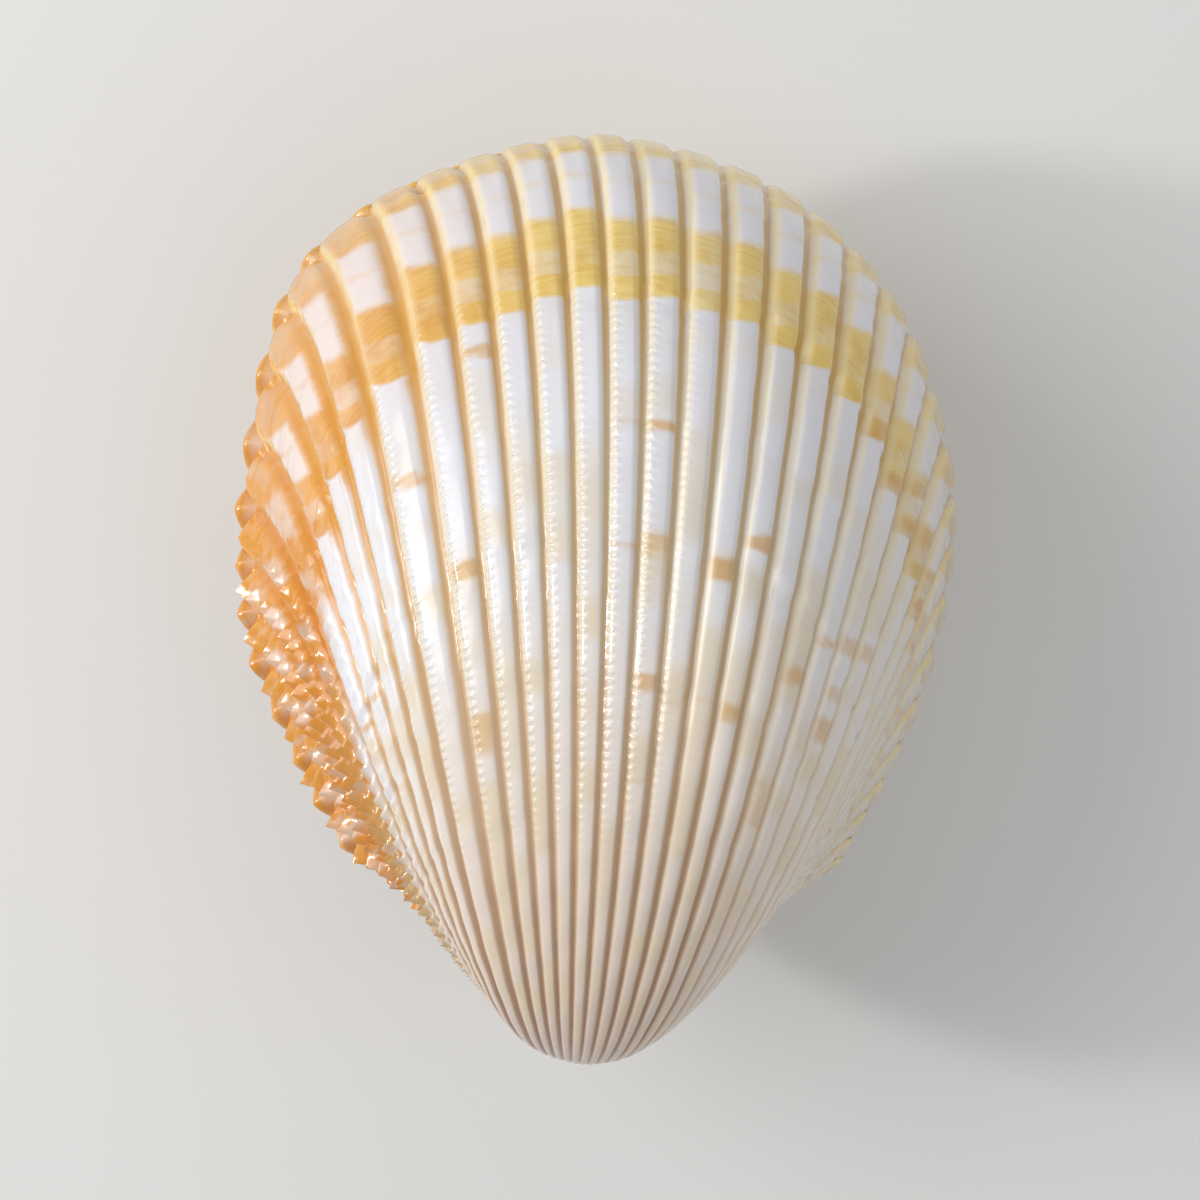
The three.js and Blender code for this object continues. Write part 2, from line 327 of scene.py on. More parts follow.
def margin_slope(t):
    step = 0.01
    return (margin_at(np.asarray(t) + step) - margin_at(np.asarray(t) - step)) / (2 * step)


def rib_width(t):
    """Distance between two rib ends at the rim."""
    return np.linalg.norm(margin_slope(t), axis=-1)


def margin_normal(t):
    slope = unit(margin_slope(t))
    return np.stack([-slope[..., 1], slope[..., 0]], axis=-1)


def rim_at(t, side, inward=0):
    """The rim of one valve, or a line this far inside it. Side is 1 for the left valve, -1 for the right."""
    normal = margin_normal(t)
    shift = rib_strength(t) * (normal @ VALVE_SLIP) if side < 0 else np.zeros(np.shape(t))
    return margin_at(t) + normal * (shift - inward)[..., None]


def size_at_turn(turn):
    youth = TURN_AT_RIM + TURN_IN_YOUTH
    return youth / (TURN_AT_RIM * np.exp(youth * turn) + TURN_IN_YOUTH)


def turn_at_size(size):
    youth = TURN_AT_RIM + TURN_IN_YOUTH
    return np.log((youth - TURN_IN_YOUTH * size) / (size * TURN_AT_RIM)) / youth


def sweep(edge, size):
    """Where the points of the growing rim were when the shell had this size."""
    turn = turn_at_size(size)
    height = edge[..., 1] * size * np.sin(turn) * DEPTH_RATIO
    x = edge[..., 0] * size + CROWN_LEAN[0] * height
    y = edge[..., 1] * size * np.cos(turn) + CROWN_LEAN[1] * height
    return np.stack([x, y, height], axis=-1)


def unit(vectors):
    return vectors / np.linalg.norm(vectors, axis=-1, keepdims=True)


def surface_frame(t, size, side):
    """Smooth surface point, outward normal, and the direction to the rim."""
    step = 0.005
    rim = rim_at(t, side)
    base = sweep(rim, size)
    along = sweep(rim_at(t + step, side), size) - sweep(rim_at(t - step, side), size)
    lower = np.minimum(size + step, 1)
    to_rim = unit(sweep(rim, lower) - sweep(rim, size - step))
    return base, unit(np.cross(along, to_rim)), to_rim


def smooth_step(low, high, value):
    u = np.clip((value - low) / (high - low), 0, 1)
    return u * u * (3 - 2 * u)


# Sizes of the growing shell, and the distance from the rim along the middle rib to each
SIZES = size_at_turn(np.linspace(0, BEAK_TURN, TURN_SAMPLES))
MIDDLE_RIB = sweep(np.broadcast_to(margin_at(0.0), (len(SIZES), 2)), SIZES)
GROWTH = np.concatenate([[0], np.cumsum(np.linalg.norm(np.diff(MIDDLE_RIB, axis=0), axis=1))])
GROWTH_SPAN = float(GROWTH[-1])


def size_at_growth(growth):
    return np.interp(growth, GROWTH, SIZES)


def rib_strength(t):
    inside = np.minimum(t - FIRST_RIB_EDGE, LAST_RIB_EDGE - t)
    return smooth_step(*RIB_ONSET, inside)


def rib_height(t):
    return rib_strength(t) * np.minimum(RIB_HEIGHT_RATIO * rib_width(t), TALLEST_RIB)


def rib_shift_of(side):
    """The ribs of one valve stand against the furrows of the other."""
    return 0 if side > 0 else 0.5


def rib_shape(t, rib_shift, growth):
    """1 on the crest of a rib, 0 in a furrow. Ribs are square with narrow furrows, but end in round arcs."""
    u = t - rib_shift
    across = 2 * np.abs(u - np.round(u))
    square = (1 - RIB_CROWN * across ** 2) * (1 - smooth_step(RIB_SHOULDER, FURROW_EDGE, across))
    arc = 1 - across ** ARC_POWER
    roundness = ROUND_AT_RIM * (1 - smooth_step(*RIM_END, growth))
    roundness = roundness + ROUND_WHEN_OLD * smooth_step(*OLD_SHELL, growth)
    return square + (arc - square) * roundness


def worn(t, growth):
    """The share of their height that the ribs still have: less on the older part of the front."""
    return 1 - WEAR * smooth_step(*WORN_RIBS, t) * smooth_step(*WORN_GROWTH, growth)


def tooth_at(t):
    reach = np.minimum(TOOTH_RATIO * rib_width(t), TALLEST_RIB)
    return -rib_strength(t) * reach * np.cos(2 * np.pi * t)


def spread(values):
    """A value for each rib, read from a list with one value a rib."""
    return lambda rib: values[np.clip(rib.astype(int) + RIB_NUMBER_OFFSET, 0, len(values) - 1)]


def column_places():
    """Rib numbers of all columns once round the rim, and which of them have the close rows."""
    dorsal_hind = np.arange(LOOP_START, FIRST_RIB_EDGE, 1 / COLUMNS_DORSAL)
    spined = np.arange(FIRST_RIB_EDGE, SPINED_EDGE, 1 / COLUMNS_SPINED)
    smooth = np.arange(SPINED_EDGE, LAST_RIB_EDGE, 1 / COLUMNS_SMOOTH)
    dorsal_front = np.arange(LAST_RIB_EDGE, LOOP_START + LOOP_LENGTH, 1 / COLUMNS_DORSAL)
    places = np.concatenate([dorsal_hind, spined, smooth, dorsal_front])
    close = (places >= FIRST_RIB_EDGE) & (places < SPINED_EDGE)
    return places, close


def row_growths():
    """Growth distances of the open rows: close together round the rim, then even up to the beak."""
    rim = np.linspace(0, 1, RIM_ROWS + 1)[:-1] ** RIM_BUNCHING * RIM_ROUNDING
    return np.concatenate([rim, np.arange(RIM_ROUNDING, GROWTH_SPAN, ROW_STEP), [GROWTH_SPAN]])


def halved(rows):
    """The same rows with one more between each two."""
    return np.interp(np.arange(2 * len(rows) - 1) / 2, np.arange(len(rows)), rows)


def spine_relief(t, size, side, rng):
    """Height of the scale-like spines over the crest of each hind rib, for columns t and rows of size."""
    height = np.zeros((len(t), len(size)))
    for rib in range(FIRST_SPINED_RIB, LAST_SPINED_RIB + 1):
        centre = rib + rib_shift_of(side)
        crest = sweep(np.broadcast_to(rim_at(np.float64(centre), side), (len(size), 2)), size)
        run = np.concatenate([[0], np.cumsum(np.linalg.norm(np.diff(crest, axis=0), axis=1))])
        fullness = SPINE_FULLNESS.get(rib, 1)
        across = np.abs(t - centre) * rib_width(centre)
        wide = SPINE_BREADTH * rib_width(centre)
        beside = np.clip(1 - across / wide, 0, 1)[:, None]
        at = 0.5 * SPINE_SPACING * rng.random()
        while at < run[-1]:
            here = np.interp(at, run, size)
            shrunk = here ** 0.5
            tall = SPINE_HEIGHT * fullness * shrunk * rng.uniform(*SPINE_HEIGHTS)
            if side < 0:
                inland = smooth_step(*RIGHT_SPINE_RIM, at)
                tall *= RIGHT_RIM_SPINES + (RIGHT_SPINES - RIGHT_RIM_SPINES) * inland
            behind = SPINE_BACK * shrunk
            front = SPINE_FRONT * shrunk
            off = run - at
            profile = np.where(off > 0, 1 - off / behind, 1 + off / front).clip(0, 1) ** SPINE_HOLLOW
            height = np.maximum(height, tall * profile[None, :] * beside)
            at += SPINE_SPACING * shrunk * rng.uniform(*SPINE_STEPS)
    return height


def growth_relief(t, growth):
    """Shallow growth steps, and slow unevenness along the ribs."""
    drift = 0.5 * np.sin(0.9 * t) + 0.3 * np.sin(2.3 * t + 1)
    relief = np.zeros(np.broadcast(t, growth).shape)
    for place, depth in GROWTH_STEPS:
        off = growth - place - drift
        relief -= depth * np.exp(-(off / STEP_WIDTH) ** 2)
        relief += SWELL_SHARE * depth * np.exp(-((off + SWELL_AWAY) / SWELL_WIDTH) ** 2)
    relief += UNEVENNESS * np.sin(1.7 * growth + 2.1 * t) + UNEVENNESS * np.sin(0.8 * growth - 1.3 * t)
    return relief


def outer_points(t, growth, side, rng):
    """Points of the outer skin of an upward valve, and how high the spines stand at each."""
    size = size_at_growth(growth)
    tt, ss = np.meshgrid(t, size, indexing="ij")
    gg = np.broadcast_to(growth, tt.shape)
    base, normal, to_rim = surface_frame(tt, ss, side)
    spine = spine_relief(t, size, side, rng)
    lift = (rib_shape(tt, rib_shift_of(side), gg) - RIB_FOOT) * rib_height(tt) * worn(tt, gg) * ss
    relief = growth_relief(tt, gg) * smooth_step(RIM_ROUNDING, RELIEF_FULL, gg)
    lift += relief * smooth_step(*RELIEF_SIZES, ss)
    rounding = np.clip(RIM_ROUNDING - gg, 0, RIM_ROUNDING)
    lift -= RIM_ROUNDING - np.sqrt(RIM_ROUNDING ** 2 - rounding ** 2)
    for rib, place, wide, deep in PITS:
        away = ((tt - rib) * rib_width(tt) * ss) ** 2 + (gg - place) ** 2
        lift -= deep * np.exp(-away / wide ** 2)
    points = base + normal * (lift + spine)[..., None] + to_rim * (SPINE_LEAN * spine)[..., None]
    return points, spine / SPINE_HEIGHT


def settled(points, t, size, side):
    """Points moved into the left valve, above the parting line, or mirrored into the right one."""
    fade = smooth_step(TOOTH_FADE, 1, size)
    placed = points.copy()
    placed[..., 2] = side * (points[..., 2] + RIM_GAP / 2) + tooth_at(t) * fade
    return placed


def laid_down(points):
    """From the frame of the valves to the scene, in metres, with what meets the floor worn flat."""
    world = points @ np.array(LAID).T + np.array(BEAKS_AT)
    world[:, 2] = np.maximum(world[:, 2], 0)
    return world * MM


def stripe(value, start, end, soft):
    """1 between start and end, 0 outside, with soft borders."""
    return smooth_step(start - soft, start + soft, value) * (1 - smooth_step(end - soft, end + soft, value))


def ridge(across, place, width):
    """1 on a line along the rib, falling away to both sides."""
    return np.exp(-((across - place) / width) ** 2)


def growth_slant(t, growth, side):
    """How much the growth distance falls along a line square to the ribs, seen square to the rim's plane."""
    step = 0.02
    near = 0.1
    least = 0.04
    steepest = 9
    middle = np.clip(growth, near, GROWTH_SPAN - 2 * near)
    size = size_at_growth(middle)
    rim = rim_at(t, side)
    across = (sweep(rim_at(t + step, side), size) - sweep(rim_at(t - step, side), size)) / (2 * step)
    older = sweep(rim, size_at_growth(middle + near))
    younger = sweep(rim, size_at_growth(middle - near))
    along = (older - younger) / (2 * near)
    across = across[..., :2]
    along = along[..., :2]
    slant = np.sum(across * along, axis=-1) / np.maximum(np.sum(along * along, axis=-1), least)
    return np.clip(slant, -steepest, steepest)


def mottling(rib, growth, rng):
    """A random value that changes every few millimetres along each rib."""
    steps = int(GROWTH_SPAN / MOTTLE_LENGTH) + MOTTLE_SPARE
    values = rng.random((RIB_COUNT, steps))
    row = np.clip(rib.astype(int) + RIB_NUMBER_OFFSET, 0, RIB_COUNT - 1)
    place = np.clip(growth, 0, GROWTH_SPAN) / MOTTLE_LENGTH
    low = np.floor(place).astype(int)
    share = smooth_step(*MOTTLE_BLEND, place - low)
    return values[row, low] * (1 - share) + values[row, low + 1] * share


def flank_pigments(t, growth, band_level, across, mottle):
    """Where the hind flank is, and how orange: pale patches lie along the middles of its ribs."""
    border = FLANK_BORDER - FLANK_RETREAT * smooth_step(*RETREAT_GROWTH, growth)
    flank = 1 - smooth_step(-BORDER_SOFTNESS, BORDER_SOFTNESS, t - border)
    patch = np.zeros(flank.shape)
    for place, half_length in FLANK_PATCHES:
        shape = stripe(band_level, place - half_length, place + half_length, PATCH_SOFTNESS)
        patch = np.maximum(patch, shape)
    inner = 1 - smooth_step(*PATCH_ACROSS, np.abs(across + PATCH_SHIFT))
    orange = FLANK_ORANGE - PATCH_LOSS * patch * inner
    return flank, orange - MOTTLE_LOSS * smooth_step(*PALE_MOTTLE, mottle) * inner


def dab_pigment(rib, level, band_level, rng):
    """Ochre dabs: the listed ones, and faint ones on random ribs along some growth lines."""
    dab = np.zeros(level.shape)
    for at, place, half_length, strength in DABS:
        on_rib = np.abs(rib - at) < 0.5
        shape = stripe(level, place - half_length, place + half_length, DAB_SOFTNESS)
        dab = np.maximum(dab, on_rib * strength * shape)
    chance = rng.random((RIB_COUNT, len(DAB_LINES)))
    for k, (place, share) in enumerate(DAB_LINES):
        strength = np.clip((share - spread(chance[:, k])(rib)) * FAINT_DAB_GAIN, 0, FAINT_DAB_STRENGTH)
        shape = stripe(band_level, place - FAINT_DAB_LENGTH, place + FAINT_DAB_LENGTH, DAB_SOFTNESS)
        dab = np.maximum(dab, strength * shape)
    return dab


def furrow_ochre_and_shade(t, growth, across):
    """Ochre of the furrows, weaker where ribs are worn; on the older shell it reaches further up the rib
    sides as painted shade.
    """
    away = np.abs(np.mod(across - FURROW_MIDDLE + 0.5, 1) - 0.5)
    # The extra reach on the older shell is painted shade on the sides of the rounder ribs
    reach = FURROW_REACH + OLD_FURROW_SHADE_REACH * smooth_step(*OLD_FURROWS, growth)
    furrow = 1 - smooth_step(FURROW_CORE, reach, away)
    return furrow * (1 - 0.5 * (1 - worn(t, growth)) / WEAR)


def pigments_and_painted_light(t, growth, side, rng):
    """How strongly each pigment shows at every point, by rib number and growth distance, together with the
    painted highlight on the rib shoulders and the painted shade in the older furrows.
    """
    rib_shift = rib_shift_of(side)
    rib = np.round(t - rib_shift)
    across = t - rib_shift - rib
    wobble = spread(rng.normal(0, BAND_WOBBLE, RIB_COUNT))(rib)
    loud = spread(rng.uniform(*BAND_STRENGTH, RIB_COUNT))(rib)
    for share, first, last in FRONT_FADES:
        loud = loud * (1 - share * smooth_step(first, last, t))
    hind = 1 - smooth_step(*HIND_RIBS, t)
    level = growth + growth_slant(t, growth, side) * across
    band_level = level + wobble + (BAND_BOW + HIND_BAND_BOW * hind) * across ** 2
    mottle = mottling(rib, level + wobble, rng)
    beside = smooth_step(*BESIDE_ACROSS, np.abs(across)) * stripe(growth, *BESIDE_GROWTH)
    flank, orange = flank_pigments(t - rib_shift, growth, band_level, across, mottle)
    bead_zone = stripe(t - rib_shift, *BEAD_RIBS) * stripe(growth, *BEAD_GROWTH)
    return {
        "gold": BESIDE_FURROW * hind * beside * (1 - flank) + orange * flank,
        "level": band_level - HIND_BAND_SHIFT * hind,
        "loud": loud,
        "dab": dab_pigment(rib, level, band_level, rng),
        "bead": ridge(across, *BEAD_LINE) * bead_zone,
        "flank": flank,
        # Furrow ochre, widened on the older shell by painted shade
        "furrow": furrow_ochre_and_shade(t, growth, across),
        # Painted highlight along the lit hind shoulder of each rib
        "shoulder": ridge(across, *SHOULDER_HIGHLIGHT_LINE),
        "mottle": mottle,
    }


def stitched(columns, close, inner_rows):
    """Faces between neighbouring columns of vertex numbers. A close column has two rows to one."""
    faces = []
    for k, column in enumerate(columns):
        after = (k + 1) % len(columns)
        other = columns[after]
        if close[k] == close[after]:
            quads = np.stack([column[:-1], other[:-1], other[1:], column[1:]], axis=-1)
            faces.extend(quads.tolist())
            continue
        few, many = (column, other) if close[after] else (other, column)
        flip = not close[after]
        quads = [(column[i], other[i], other[i + 1], column[i + 1]) for i in range(inner_rows)]
        faces.extend(quads)
        for i in range(inner_rows, len(few) - 1):
            j = inner_rows + 2 * (i - inner_rows)
            fan = [(few[i], many[j], many[j + 1]), (few[i], many[j + 1], few[i + 1]),
                   (few[i + 1], many[j + 1], many[j + 2])]
            faces.extend([tri[::-1] if flip else tri for tri in fan])
    return faces


def signed_volume(points, faces):
    total = 0.0
    for corners in (3, 4):
        group = np.array([face for face in faces if len(face) == corners])
        for second in range(1, corners - 1):
            a, b, c = points[group[:, 0]], points[group[:, second]], points[group[:, second + 1]]
            total += np.einsum("ij,ij->", a, np.cross(b, c)) / 6
    return total


def mesh_object(name, points, faces, attributes, material, sharp_angle):
    mesh = bpy.data.meshes.new(name)
    mesh.from_pydata(points.tolist(), [], [tuple(face) for face in faces])
    for key, values in attributes.items():
        layer = mesh.attributes.new(key, "FLOAT", "POINT")
        layer.data.foreach_set("value", np.asarray(values, dtype=np.float32))
    mesh.shade_smooth()
    mesh.set_sharp_from_angle(angle=sharp_angle)
    mesh.materials.append(material)
    piece = bpy.data.objects.new(name, mesh)
    bpy.context.scene.collection.objects.link(piece)
    return piece


def make_valve(name, side, material):
    """One valve as a closed mesh: outer skin, rounded rim edge, rim face and the start of the hollow."""
    rng = np.random.default_rng(LEFT_SEED if side > 0 else RIGHT_SEED)
    t, close = column_places()
    open_rows = row_growths()
    bunched = np.linspace(1, 0, CAVITY_ROWS + 1) ** CAVITY_BUNCHING
    hollow = size_at_turn(turn_at_size(CAVITY_DEPTH) * bunched)

    points = []
    data = {}
    columns = [None] * len(t)
    count = 0
    for is_close in (False, True):
        chosen = np.flatnonzero(close == is_close)
        tc = t[chosen]
        rows = halved(open_rows) if is_close else open_rows
        size = size_at_growth(rows)
        skin, spine = outer_points(tc, rows, side, rng)
        skin = settled(skin, tc[:, None], size[None, :], side)
        inner = sweep(rim_at(tc, side, WALL_AT_RIM)[:, None, :], hollow[None, :])
        inner = settled(inner, tc[:, None], hollow[None, :], side)
        tt, gg = np.meshgrid(tc, rows, indexing="ij")
        fields = pigments_and_painted_light(tt, gg, side, np.random.default_rng(PIGMENT_SEED))
        fields["growth"] = gg
        fields["ribbed"] = rib_strength(tt)
        fields["spine"] = spine
        fields["warmth"] = 1 - smooth_step(*WARM_RIBS, tt)
        fields["front"] = smooth_step(*FRONT_RIBS, tt)
        block = np.concatenate([inner, skin], axis=1)
        inside = inner.shape[1]
        for key, values in fields.items():
            rim_value = values[:, :1] if key in ("growth", "warmth") else np.zeros((len(tc), 1))
            padded = np.concatenate([np.repeat(rim_value, inside, axis=1), values], axis=1)
            data.setdefault(key, []).append(padded.ravel())
        hidden = np.concatenate([np.ones((len(tc), inside)), np.zeros((len(tc), len(rows)))], axis=1)
        data.setdefault("inside", []).append(hidden.ravel())
        numbers = count + np.arange(block.shape[0] * block.shape[1]).reshape(block.shape[:2])
        for k, column in zip(chosen, numbers):
            columns[k] = column
        points.append(block.reshape(-1, 3))
        count += numbers.size

    faces = stitched(columns, close, len(hollow))
    for end, order in ((0, 1), (-1, -1)):
        ring = [column[end] for column in columns][::order]
        centre = np.concatenate(points)[ring].mean(axis=0)
        points.append(centre[None, :])
        for key in data:
            hub = 1.0 if key == "inside" and end == 0 else np.concatenate(data[key])[ring[0]]
            data[key].append([hub])
        faces += [(count, ring[(k + 1) % len(ring)], ring[k]) for k in range(len(ring))]
        count += 1
    world = laid_down(np.concatenate(points))
    if signed_volume(world, faces) < 0:
        faces = [tuple(face)[::-1] for face in faces]
    attributes = {key: np.concatenate(values) for key, values in data.items()}
    return mesh_object(name, world, faces, attributes, material, SHELL_CREASE)


def make_ligament(material):
    """The ligament follows the dorsal edge behind the beaks and swells in the middle."""
    steps = LIGAMENT_STEPS
    sides = LIGAMENT_SIDES
    strands = np.random.default_rng(LIGAMENT_SEED).normal(0, 1, sides)
    t = np.linspace(LIGAMENT_START, LIGAMENT_END, steps)
    outward = margin_normal(t)
    swell = LIGAMENT_TIP + (1 - LIGAMENT_TIP) * np.sin(np.pi * np.linspace(0, 1, steps))
    angle = np.arange(sides) / sides * 2 * np.pi
    ripple = 1 + 0.03 * strands[None, :] + 0.02 * np.sin(9 * t[:, None] + 2 * angle[None, :])
    high = LIGAMENT_HEIGHT / 2 * swell[:, None] * np.cos(angle) * ripple + LIGAMENT_RISE
    wide = LIGAMENT_WIDTH / 2 * swell[:, None] * np.sin(angle) * ripple
    edge = margin_at(t)[:, None, :] + outward[:, None, :] * high[..., None]
    ring_points = np.concatenate([edge, wide[..., None]], axis=-1).reshape(-1, 3)
    faces = []
    for i in range(steps - 1):
        for k in range(sides):
            after = (k + 1) % sides
            faces.append((i * sides + k, i * sides + after, (i + 1) * sides + after, (i + 1) * sides + k))
    ends = [ring_points[:sides].mean(axis=0), ring_points[-sides:].mean(axis=0)]
    for hub, start in ((len(ring_points), 0), (len(ring_points) + 1, (steps - 1) * sides)):
        for k in range(sides):
            pair = (start + k, start + (k + 1) % sides)
            faces.append((hub, *(pair[::-1] if start == 0 else pair)))
    world = laid_down(np.concatenate([ring_points, ends]))
    if signed_volume(world, faces) < 0:
        faces = [face[::-1] for face in faces]
    return mesh_object("ligament_band", world, faces, {}, material, LIGAMENT_CREASE)


# Materials
def colour(red, green, blue):
    """A colour given as it looks on a screen, 0 to 255, for a shader."""
    channels = [value / 255 for value in (red, green, blue)]
    linear = [c / 12.92 if c <= 0.04045 else ((c + 0.055) / 1.055) ** 2.4 for c in channels]
    return (*linear, 1)


class Nodes:
    """Short ways to add and join shader nodes of one material."""

    def __init__(self, name):
        self.material = bpy.data.materials.new(name)
        self.material.use_nodes = True
        self.tree = self.material.node_tree
        self.shader = self.tree.nodes["Principled BSDF"]

    def join(self, source, socket):
        if isinstance(source, (int, float, tuple)):
            socket.default_value = source
        else:
            self.tree.links.new(source, socket)

    def attribute(self, name):
        node = self.tree.nodes.new("ShaderNodeAttribute")
        node.attribute_name = name
        return node.outputs["Fac"]

    def place(self):
        return self.tree.nodes.new("ShaderNodeTexCoord").outputs["Object"]

    def math(self, operation, *values, clamp=False):
        node = self.tree.nodes.new("ShaderNodeMath")
        node.operation = operation
        node.use_clamp = clamp
        for value, socket in zip(values, node.inputs):
            self.join(value, socket)
        return node.outputs[0]

    def plus(self, first, second):
        return self.math("ADD", first, second)

    def minus(self, first, second):
        return self.math("SUBTRACT", first, second)

    def times(self, first, *others):
        product = first
        for value in others:
            product = self.math("MULTIPLY", product, value)
        return product

    def smooth(self, value, low, high):
        node = self.tree.nodes.new("ShaderNodeMapRange")
        node.interpolation_type = "SMOOTHSTEP"
        self.join(value, node.inputs["Value"])
        node.inputs["From Min"].default_value = low
        node.inputs["From Max"].default_value = high
        return node.outputs["Result"]

    def stripe(self, value, start, end, soft, strength):
        """As strong as this between start and end, with soft borders."""
        inward = self.smooth(value, start - soft, start + soft)
        outward = self.minus(1.0, self.smooth(value, end - soft, end + soft))
        return self.times(inward, outward, strength)

    def noise(self, vector, scale, detail=2.0, roughness=0.5, flat=None):
        node = self.tree.nodes.new("ShaderNodeTexNoise")
        node.inputs["Scale"].default_value = scale
        node.inputs["Detail"].default_value = detail
        node.inputs["Roughness"].default_value = roughness
        if flat is None:
            self.join(vector, node.inputs["Vector"])
        else:
            node.noise_dimensions = "1D"
            self.join(flat, node.inputs["W"])
        return node.outputs["Fac"]

    def mix(self, factor, first, second, blend="MIX"):
        node = self.tree.nodes.new("ShaderNodeMix")
        node.data_type = "RGBA"
        node.blend_type = blend
        self.join(factor, node.inputs["Factor"])
        self.join(first, node.inputs["A"])
        self.join(second, node.inputs["B"])
        return node.outputs["Result"]

    def ramp(self, value, stops):
        node = self.tree.nodes.new("ShaderNodeValToRGB")
        elements = node.color_ramp.elements
        while len(elements) < len(stops):
            elements.new(0.5)
        for element, (place, shade) in zip(elements, stops):
            element.position = place
            element.color = shade
        self.join(value, node.inputs["Fac"])
        return node.outputs["Color"]

    def bump(self, height, strength):
        node = self.tree.nodes.new("ShaderNodeBump")
        node.inputs["Strength"].default_value = strength
        node.inputs["Distance"].default_value = BUMP_DEPTH
        self.join(height, node.inputs["Height"])
        return node.outputs["Normal"]


def shell_fields(n):
    """The mesh's own values and the noises that the layers of the shell's colour share."""
    f = SimpleNamespace(**{name: n.attribute(name) for name in SHELL_ATTRIBUTES})
    place = n.place()
    f.age = n.math("DIVIDE", f.growth, GROWTH_SPAN)
    f.patchy = n.noise(place, 420, 3.0, 0.55)
    f.fine = n.noise(place, 1500, 3.0, 0.6)
    f.ragged = n.minus(n.plus(n.times(f.patchy, 0.7), n.times(f.fine, 0.3)), 0.5)
    f.lines = n.noise(None, 2.2, 3.0, 0.6, flat=f.growth)
    f.thin_lines = n.noise(None, 7.0, 2.0, 0.6, flat=f.growth)
    return f


def rib_tone(n, f):
    """Lavender white near the rim and browner at the beaks, with cream mottling and a tan front."""
    tone = n.ramp(f.age, [
        (0.0, colour(236, 226, 214)),
        (0.12, colour(225, 223, 230)),
        (0.45, colour(228, 228, 233)),
        (0.62, colour(234, 223, 214)),
        (0.8, colour(228, 210, 196)),
        (0.95, colour(204, 180, 168)),
    ])
    cream = n.smooth(n.plus(f.lines, n.times(f.patchy, 0.3)), 0.55, 0.85)
    tone = n.mix(n.times(cream, 0.15), tone, colour(236, 220, 188))
    tone = n.mix(n.times(f.front, 0.45), tone, colour(222, 206, 178))
    young = n.minus(1.0, n.smooth(f.age, 0.15, 0.4))
    tone = n.mix(n.times(f.warmth, 0.6, young), tone, colour(236, 206, 184))
    mottled = n.times(n.smooth(f.mottle, 0.35, 0.95), n.smooth(f.age, 0.2, 0.5))
    return n.mix(n.times(mottled, 0.6), tone, colour(226, 206, 168))


def with_gold(n, f, tone):
    """The gold growth bands, more orange towards the hind end and duller towards the front."""
    bands = 0.0
    for start, end, soft, strength in GOLD_BANDS:
        bands = n.math("MAXIMUM", bands, n.stripe(f.level, start, end, soft, strength))
    bands = n.math("MAXIMUM", n.times(bands, f.loud), f.gold)
    gold = n.mix(f.warmth, colour(236, 202, 94), colour(226, 158, 44))
    gold = n.mix(f.front, gold, colour(212, 178, 118))
    deep_gold = n.mix(f.warmth, colour(222, 178, 58), colour(212, 134, 24))
    deep_gold = n.mix(f.front, deep_gold, colour(204, 158, 84))
    cloudy = n.plus(n.times(f.lines, 0.5), n.times(f.patchy, 0.9))
    gold = n.mix(n.smooth(cloudy, 0.55, 0.95), gold, deep_gold)
    mask = n.smooth(n.plus(bands, n.times(f.ragged, 0.7)), 0.1, 0.95)
    return n.mix(n.times(mask, 0.92), tone, gold)


def with_dabs(n, f, tone):
    """Ochre dabs on single ribs."""
    mask = n.smooth(n.plus(f.dab, n.times(f.ragged, 0.6)), 0.25, 0.8)
    return n.mix(n.times(mask, 0.75), tone, colour(214, 164, 84))


def with_flank(n, f, tone):
    """The orange hind flank, with pale patches and pinker spine tips."""
    shade = n.ramp(f.age, [
        (0.0, colour(222, 152, 52)),
        (0.3, colour(216, 140, 38)),
        (0.5, colour(212, 154, 72)),
        (0.72, colour(208, 182, 138)),
        (0.95, colour(200, 178, 150)),
    ])
    light = n.ramp(f.age, [
        (0.2, colour(222, 188, 160)),
        (0.4, colour(200, 170, 148)),
        (0.7, colour(212, 192, 166)),
    ])
    mask = n.smooth(n.plus(f.gold, n.times(f.ragged, 1.3)), 0.15, 0.9)
    tone = n.mix(f.flank, tone, n.mix(mask, light, shade))
    tip = n.smooth(f.spine, 0.5, 1.0)
    return n.mix(n.times(tip, 0.45), tone, colour(206, 166, 136))


def with_shoulder_highlight(n, f, tone):
    """Painted highlight: a pale line along the lit hind shoulder of each rib, beside the furrow."""
    highlight_tone = n.ramp(f.age, [
        (0.1, colour(246, 222, 150)),
        (0.4, colour(242, 230, 200)),
        (0.9, colour(226, 208, 190)),
    ])
    # The painted highlight is weaker on the orange flank
    share = n.minus(0.75, n.times(f.flank, 0.5))
    return n.mix(n.times(f.shoulder, f.ribbed, share), tone, highlight_tone)


def with_furrows(n, f, tone):
    """Ochre in the furrows, more orange towards the hind end and browner at the beaks; its wider reach on the
    older shell is painted shade.
    """
    shade = n.ramp(f.age, [
        (0.0, colour(196, 148, 62)),
        (0.28, colour(204, 162, 82)),
        (0.42, colour(204, 178, 132)),
        (0.65, colour(200, 164, 124)),
        (0.95, colour(164, 122, 96)),
    ])
    warm = n.math("MULTIPLY", f.warmth, n.minus(0.85, n.smooth(f.age, 0.3, 0.75)), clamp=True)
    shade = n.mix(warm, shade, colour(220, 150, 48))
    shade = n.mix(f.flank, shade, colour(206, 122, 28))
    depth = n.smooth(n.plus(f.furrow, n.times(f.ragged, 0.3)), 0.05, 0.9)
    outside = n.minus(1.0, f.inside)
    off_flank = n.minus(0.9, n.times(f.flank, 0.45))
    return n.mix(n.times(depth, f.ribbed, outside, off_flank), tone, shade)


